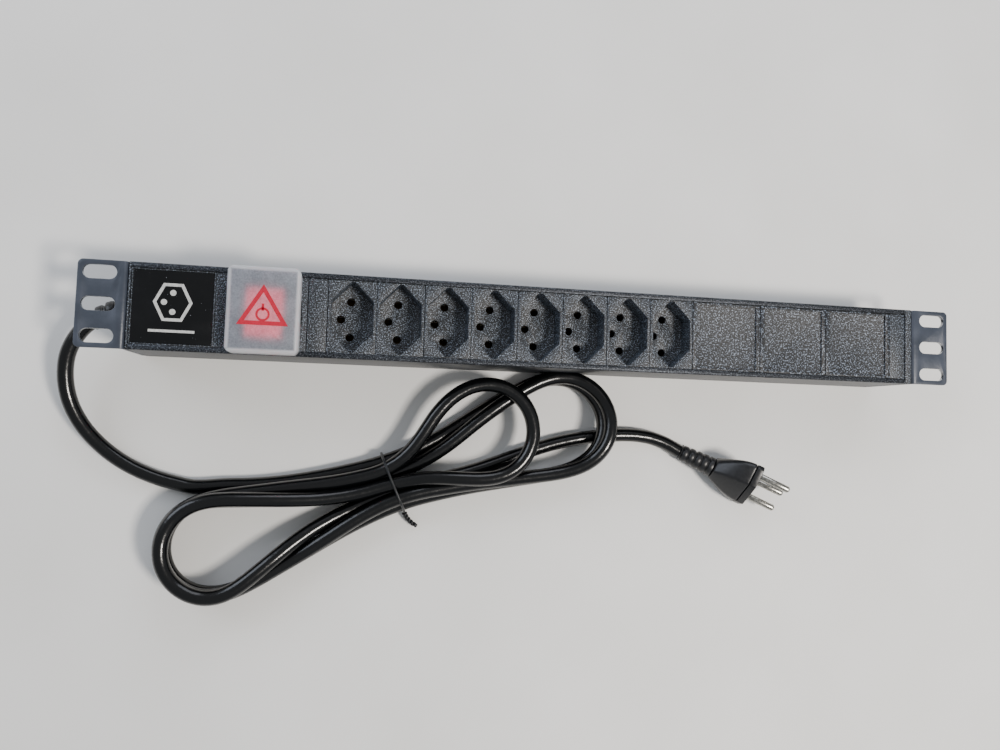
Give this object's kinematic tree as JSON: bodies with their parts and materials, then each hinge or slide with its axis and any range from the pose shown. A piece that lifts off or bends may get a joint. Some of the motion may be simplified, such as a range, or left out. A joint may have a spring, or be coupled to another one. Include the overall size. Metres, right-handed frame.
{
  "type": "rack power strip",
  "caption": "One-unit rack power strip with recessed three-pin sockets, a guarded lit rocker switch, slotted end brackets and a mains lead tied in a hank.",
  "frame": {"origin": "middle of the housing's back face, halfway between the bracket tips", "axes": "+X along the strip towards the blank modules, +Y up the rack, +Z out of the socket faces"},
  "size_m": [0.4977, 0.174, 0.0541],
  "materials": {
    "anodised_aluminium": "dark fine-grained anodised",
    "coated_steel": "satin blue-grey powder coat",
    "zinc_steel": "zinc plated",
    "textured_plastic": "spark-eroded texture",
    "label_acrylic": "glossy with a pale print",
    "switch_nylon": "semi-gloss",
    "red_lens": "translucent, lit",
    "frosted_cover": "frosted translucent",
    "natural_nylon": "natural",
    "brass": "bright stamped",
    "nickel": "nickel plated",
    "wire_insulation": "smooth PVC",
    "pvc_black": "semi-gloss flexible PVC",
    "tie_plastic": "smooth"
  },
  "bodies": {
    "chassis": {"blank_module_1": "textured_plastic", "blank_module_2": "textured_plastic", "blank_module_3": "textured_plastic", "bracket_left": "coated_steel", "bracket_right": "coated_steel", "bracket_screw_left_1": "zinc_steel", "bracket_screw_left_2": "zinc_steel", "bracket_screw_left_3": "zinc_steel", "bracket_screw_left_4": "zinc_steel", "bracket_screw_right_1": "zinc_steel", "bracket_screw_right_2": "zinc_steel", "bracket_screw_right_3": "zinc_steel", "bracket_screw_right_4": "zinc_steel", "busbar_earth": "brass", "busbar_live": "brass", "busbar_neutral": "brass", "clamp_screw_1": "zinc_steel", "clamp_screw_2": "zinc_steel", "contact_tray": "natural_nylon", "cord_boot": "pvc_black", "cord_clamp_bar": "natural_nylon", "cord_clamp_base": "natural_nylon", "cord_hank": "pvc_black", "cord_lead": "pvc_black", "cord_sheath_inside": "pvc_black", "cord_tail": "pvc_black", "end_cap_left": "textured_plastic", "end_cap_right": "textured_plastic", "filler_left": "textured_plastic", "filler_right": "textured_plastic", "housing_profile": "anodised_aluminium", "label_module": "textured_plastic", "label_plate": "label_acrylic", "plug_body": "pvc_black", "plug_face": "pvc_black", "plug_pin_earth": "nickel", "plug_pin_live": "nickel", "plug_pin_neutral": "nickel", "plug_strain_relief": "pvc_black", "socket_module_1": "textured_plastic", "socket_module_2": "textured_plastic", "socket_module_3": "textured_plastic", "socket_module_4": "textured_plastic", "switch_body": "switch_nylon", "switch_lamp": "red_lens", "switch_module": "textured_plastic", "switch_terminal_1": "brass", "switch_terminal_2": "brass", "switch_terminal_3": "brass", "switch_terminal_4": "brass", "wire_earth": "wire_insulation", "wire_live_in": "wire_insulation", "wire_live_out": "wire_insulation", "wire_neutral_in": "wire_insulation", "wire_neutral_out": "wire_insulation", "wire_tie": "tie_plastic"},
    "rocker": {"rocker": "red_lens"},
    "switch_cover": {"switch_cover": "frosted_cover"}
  },
  "joints": [
    {"name": "rocker_press", "type": "hinge", "parent": "chassis", "child": "rocker", "pos_m": [-0.15155, 0, 0.0418], "axis": [1, 0, 0], "range_deg": [0, 20]},
    {"name": "cover_pull", "type": "slide", "parent": "chassis", "child": "switch_cover", "axis": [0, 0, 1], "range_m": [0, 0.03]}
  ]
}
